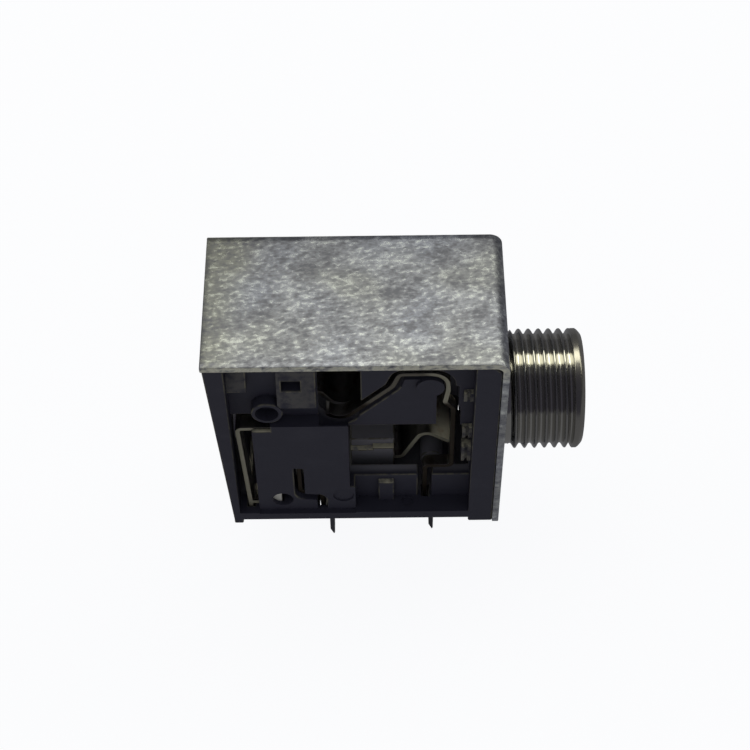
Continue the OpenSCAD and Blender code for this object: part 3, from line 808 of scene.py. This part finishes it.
@dataclass
class ShieldSheet:
    """The folded sheet: top, fold and front plate with its hole, as one surface that is given its thickness."""

    width: float = 12.0
    rear: float = -21.5
    top: float = 10.8
    foot: float = -9.2
    thickness: float = 0.5
    fold: float = 1.0
    hole: float = 4.55
    edge: float = 0.07
    columns: int = 24
    run_rows: int = 40
    side_rows: int = 36
    fold_rows: int = 14
    rings: int = 8

    def top_points(self) -> np.ndarray:
        """Top and fold: a straight run and a quarter turn, carried across the width.

        Returns:
            A grid of points, row by row.
        """
        turn = np.linspace(0, math.pi / 2, self.fold_rows + 1)
        run = np.linspace(self.rear, -self.fold, self.run_rows, endpoint=False)
        x = np.concatenate([run, -self.fold + self.fold * np.sin(turn)])
        z = np.concatenate([np.full(len(run), self.top), self.top - self.fold + self.fold * np.cos(turn)])
        y = np.linspace(-self.width / 2, self.width / 2, self.columns + 1)
        return np.stack(np.broadcast_arrays(x[:, None], y[None, :], z[:, None]), -1)

    def front_points(self) -> np.ndarray:
        """Front plate: rings that go evenly from the round hole to the outline, along rays off the plug axis.

        Returns:
            A grid of points, ring by ring.
        """
        half, high = self.width / 2, self.top - self.fold
        across = np.linspace(-half, half, self.columns + 1)[:-1]
        down = np.linspace(high, self.foot, self.side_rows + 1)[:-1]
        outline = np.concatenate([
            np.stack([across, np.full(len(across), high)], -1), np.stack([np.full(len(down), half), down], -1),
            np.stack([-across, np.full(len(across), self.foot)], -1),
            np.stack([np.full(len(down), -half), (high + self.foot) - down], -1)])
        circle = outline / np.linalg.norm(outline, axis=1)[:, None] * self.hole
        t = np.linspace(0, 1, self.rings + 1)[:, None, None]
        ring = circle[None] * (1 - t) + outline[None] * t
        return np.concatenate([np.zeros(ring.shape[:2] + (1,)), ring], -1)

    def build(self, material: bpy.types.Material) -> bpy.types.Object:
        """Joins the two surfaces, gives them the sheet's thickness inwards and rounds the cut edges.

        Args:
            material: the sheet's finish.

        Returns:
            The piece.
        """
        top, front = self.top_points(), self.front_points()
        points = np.concatenate([top.reshape(-1, 3), front.reshape(-1, 3)])
        faces = np.concatenate([
            quads(*top.shape[:2], False, False), quads(*front.shape[:2], False, True, top.shape[0] * top.shape[1])])
        mesh = mesh_of("shield_sheet", points, faces)
        made = link(mesh, material)
        highest = max(mesh.polygons, key=lambda face: face.center.z)
        solid = made.modifiers.new("sheet", "SOLIDIFY")
        solid.thickness = self.thickness * MM
        solid.offset = -1.0 if highest.normal.z > 0 else 1.0
        solid.use_even_offset = True
        bevel = made.modifiers.new("edge", "BEVEL")
        bevel.width = self.edge * MM
        bevel.segments = 2
        bevel.limit_method = "ANGLE"
        bevel.angle_limit = CREASE
        even_normals(made)
        return made


@dataclass
class Moulding:
    """The black moulding, with its edges eased as a mould leaves them."""

    edge: float = 0.1
    square: float = 0.99
    ledge_area: float = 1.2
    lowest_ledge: float = -7.0
    # Shares of dust with painted light on ledges, guide ribs and lugs.
    ledge_dust_and_light: float = 1.0
    rib_area: float = 0.7
    rib_rear: float = -3.3
    rib_dust_and_light: float = 0.3
    lug_front: float = 0.9
    lug_slope: Span = (0.1, 0.3)
    lug_dust_and_light: float = 0.12

    def dust_and_light(self, face: bmesh.types.BMFace) -> float:
        """How much dust and painted light a face gets: most on small flat ledges, less on the guide ribs, least on
        the sloping lugs.

        Args:
            face: a face of the moulding, in millimetres.

        Returns:
            The dust and painted light, from 0 to 1.
        """
        centre, area, normal = face.calc_center_median(), face.calc_area(), face.normal
        flat = all(edge.calc_face_angle(0.0) > SHARP for edge in face.edges)
        if flat and normal.z > self.square and area < self.ledge_area and centre.z > self.lowest_ledge:
            return self.ledge_dust_and_light
        if flat and normal.y < -self.square and area < self.rib_area and centre.x > self.rib_rear:
            return self.rib_dust_and_light
        lug = normal.y < -self.lug_front and self.lug_slope[0] < normal.z < self.lug_slope[1]
        return self.lug_dust_and_light if lug else 0.0

    def build(self, node: bpy.types.Object, material: bpy.types.Material) -> bpy.types.Object:
        """Copies the solid's surface and rounds the edges that stand out.

        Args:
            node: the solid.
            material: the moulding's finish.

        Returns:
            The piece.
        """
        made = link(eased_copy(node, "moulding", self.edge, Easing.OUTER, self.dust_and_light), material)
        even_normals(made)
        return made


@dataclass
class Strips:
    """The stamped contacts, each with the soft edges of sheared strip."""

    edge: float = 0.05
    facing: float = 0.9
    # Strips whose near edges stay bright all along; the others get painted shade on their legs.
    bright: tuple[str, ...] = ("tip_spring", "sleeve_spring")
    nodes: tuple[str, ...] = (
        "tip_spring", "ring_spring", "sleeve_spring", "tip_break_contact", "ring_break_contact")

    def sheared(self, name: str) -> Callable[[bmesh.types.BMFace], float]:
        """The mark of a strip's sheared edge that looks out of the open side.

        Args:
            name: the contact.

        Returns:
            A function that gives 1 on an edge that is bright all along, -1 on one whose leg and run get painted
            shade, and 0 elsewhere.
        """
        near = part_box(name)[0][1] / MM + self.edge

        def mark(face: bmesh.types.BMFace) -> float:
            """The mark of one face.

            Args:
                face: a face of the strip.

            Returns:
                The mark.
            """
            if face.normal.y > -self.facing or face.calc_center_median().y > near:
                return 0.0
            return 1.0 if name in self.bright else -1.0

        return mark

    def build(self, solids: Mapping[str, bpy.types.Object], material: bpy.types.Material) -> list[bpy.types.Object]:
        """Copies each contact's surface and rounds its edges.

        Args:
            solids: the part's solids by name.
            material: the strips' finish.

        Returns:
            The pieces, in the order of the names.
        """
        made = []
        for name in self.nodes:
            mesh = eased_copy(solids[name], name + "_strip", self.edge, Easing.ALL, self.sheared(name))
            made.append(link(mesh, material))
            even_normals(made[-1])
        return made


@dataclass(frozen=True)
class Lamp:
    """A soft rectangular lamp overhead that faces down, its length turned off the X axis."""

    name: str = "overhead"
    place: tuple[float, float, float] = (0, 158, 300)
    size: Span = (3000, 165)
    turn: float = math.radians(11)
    watts: float = 4.6
    tint: Colour = (1.0, 0.975, 0.79)

    def build(self) -> None:
        """Hangs the lamp in the scene."""
        data = bpy.data.lights.new(self.name, "AREA")
        data.shape = "RECTANGLE"
        data.size, data.size_y = (length * MM for length in self.size)
        data.energy = self.watts
        data.color = self.tint
        made = bpy.data.objects.new(self.name, data)
        made.matrix_world = Matrix.Translation(np.array(self.place) * MM) @ Matrix.Rotation(self.turn, 4, "Z")
        bpy.context.scene.collection.objects.link(made)


@dataclass
class Studio:
    """Camera, pale floor, soft light and the dark cloths that the metal reflects."""

    eye: tuple[float, float, float] = (-9.115, -81.908, 110.996)
    right: tuple[float, float, float] = (0.99993, -0.00794, -0.00859)
    down: tuple[float, float, float] = (-0.01151, -0.79973, -0.60025)
    forward: tuple[float, float, float] = (-0.0021, 0.60031, -0.79976)
    focal_pixels: float = 1828.78
    frame_pixels: float = 750.0
    sensor: float = 36.0
    soft_level: float = 0.45
    floor_height: float = -12.7
    floor_size: float = 6000.0
    floor_paint: Colour = (0.86, 0.86, 0.87)
    floor_white: Colour = (0.98, 0.985, 1.0)
    white_share: float = 0.95
    tent_radius: float = 1200.0
    tent_length: float = 4200.0
    tent_rows: int = 25
    front_angles: Span = (-8, 84)
    front_cloth: Colour = (0.056, 0.054, 0.07)
    back_angles: Span = (84, 188)
    back_cloth: Colour = (0.1, 0.1, 0.11)
    low_cloth: Colour = (0.155, 0.155, 0.165)
    cloth_gap: float = 0.1
    end_cloth: Colour = (0.05, 0.05, 0.055)

    def camera(self) -> None:
        """Sets the camera at the photograph's place and angle."""
        data = bpy.data.cameras.new("camera")
        data.sensor_width = self.sensor
        data.lens = self.focal_pixels * self.sensor / self.frame_pixels
        data.clip_start = 0.01
        data.clip_end = 20.0
        made = bpy.data.objects.new("camera", data)
        axes = np.eye(4)
        axes[:3, 0], axes[:3, 1], axes[:3, 2] = self.right, -np.array(self.down), -np.array(self.forward)
        axes[:3, 3] = np.array(self.eye) * MM
        made.matrix_world = Matrix(axes.tolist())
        bpy.context.scene.collection.objects.link(made)
        bpy.context.scene.camera = made

    @staticmethod
    def seen_rays(g: Graph) -> Wire:
        """1 for the rays that see the background: from the camera, in a reflection or through glass.

        Args:
            g: the graph to add the test to.

        Returns:
            The test's result, 0 or 1.
        """
        path = g.node("ShaderNodeLightPath", {}, {})
        return g.clamp(
            Wire(g, path.outputs["Is Camera Ray"]) + Wire(g, path.outputs["Is Glossy Ray"])
            + Wire(g, path.outputs["Is Transmission Ray"]))

    def world(self) -> None:
        """A white world for what sees it, and a soft level of light for the rest."""
        world = bpy.data.worlds.new("studio")
        bpy.context.scene.world = world
        world.use_nodes = True
        g = Graph(world.node_tree)
        strength = self.soft_level + self.seen_rays(g) * (1 - self.soft_level)
        shade = g.wire("ShaderNodeBackground", {}, {"Color": (1, 1, 1, 1), "Strength": strength})
        g.node("ShaderNodeOutputWorld", {}, {"Surface": shade})

    @staticmethod
    def rectangle(long: float, wide: float) -> np.ndarray:
        """Corners of a rectangle round the middle, from the halves of its two sides."""
        return np.array([[-long, -wide], [long, -wide], [long, wide], [-long, wide]])

    def floor(self) -> None:
        """A white floor that keeps the part's shadow."""
        corners = self.rectangle(self.floor_size / 2, self.floor_size / 2)
        points = np.concatenate([corners, np.full((4, 1), self.floor_height)], 1)
        material, g = new_material("floor")
        lit = g.wire("ShaderNodeBsdfDiffuse", {}, {"Color": (*self.floor_paint, 1)})
        white = g.wire("ShaderNodeEmission", {}, {"Color": (*self.floor_white, 1), "Strength": 1.0})
        mixed = g.wire("ShaderNodeMixShader", {}, {0: self.seen_rays(g) * self.white_share, 1: lit, 2: white})
        g.node("ShaderNodeOutputMaterial", {}, {"Surface": mixed})
        link(mesh_of("floor", points, ONE_QUAD), material)

    @staticmethod
    def cloth(name: str, points: np.ndarray, faces: np.ndarray, colour: Colour) -> None:
        """A plain studio cloth that only reflections see.

        Args:
            name: the cloth's name.
            points: its points, in millimetres.
            faces: its quads.
            colour: how it looks.
        """
        material, g = new_material(name)
        shade = g.wire("ShaderNodeEmission", {}, {"Color": (*colour, 1), "Strength": 1.0})
        g.node("ShaderNodeOutputMaterial", {}, {"Surface": shade})
        made = link(mesh_of(name, points, faces), material)
        made.visible_camera = made.visible_diffuse = made.visible_shadow = False
        made.visible_transmission = made.visible_volume_scatter = False

    def tent(self, name: str, angles: Span, colour: Colour) -> None:
        """A cloth bent round the X axis, from one angle above the front to another, in degrees.

        Args:
            name: the cloth's name.
            angles: its first and last angle.
            colour: how it looks.
        """
        angle = np.radians(np.linspace(*angles, self.tent_rows))
        x = np.array([-self.tent_length, self.tent_length]) / 2
        points = np.stack(np.broadcast_arrays(
            x[None, :], -self.tent_radius * np.cos(angle)[:, None], self.tent_radius * np.sin(angle)[:, None]), -1)
        self.cloth(name, points, quads(len(angle), 2, False, False), colour)

    def ground(self, name: str, colour: Colour) -> None:
        """A cloth that lies just over the floor.

        Args:
            name: the cloth's name.
            colour: how it looks.
        """
        corners = self.rectangle(self.tent_length / 2, self.tent_radius)
        points = np.concatenate([corners, np.full((4, 1), self.floor_height + self.cloth_gap)], 1)
        self.cloth(name, points, ONE_QUAD, colour)

    def wall(self, name: str, x: float, colour: Colour) -> None:
        """A cloth that closes one end of the tent.

        Args:
            name: the cloth's name.
            x: its place.
            colour: how it looks.
        """
        points = np.concatenate([np.full((4, 1), x), self.rectangle(self.tent_radius, self.tent_radius)], 1)
        self.cloth(name, points, ONE_QUAD, colour)

    def build(self) -> None:
        """Sets up the view, the floor, the soft lamp overhead and the dark tent that the metal reflects."""
        bpy.context.scene.view_settings.view_transform = "Standard"
        self.camera()
        self.world()
        self.floor()
        Lamp().build()
        self.tent("front_cloth", self.front_angles, self.front_cloth)
        self.tent("back_cloth", self.back_angles, self.back_cloth)
        self.ground("low_cloth", self.low_cloth)
        self.wall("left_cloth", -self.tent_length / 2, self.end_cloth)
        self.wall("right_cloth", self.tent_length / 2, self.end_cloth)


def main() -> None:
    """Loads the frame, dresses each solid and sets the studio."""
    logging.basicConfig(level=logging.INFO, format="%(name)s: %(message)s")
    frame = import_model()
    solids = frame["nodes"]
    dress(ThreadedBush().build(NickelPlate().material()), "threaded_bush")
    dress(ShieldSheet().build(TinnedSheet().material()), "shield_bracket")
    dress(Moulding().build(solids["housing"], BlackMoulding().material()), "housing")
    strips = Strips()
    for piece, node in zip(strips.build(solids, TinnedStrip().material()), strips.nodes):
        dress(piece, node)
    Studio().build()


if __name__ == "__main__":
    main()
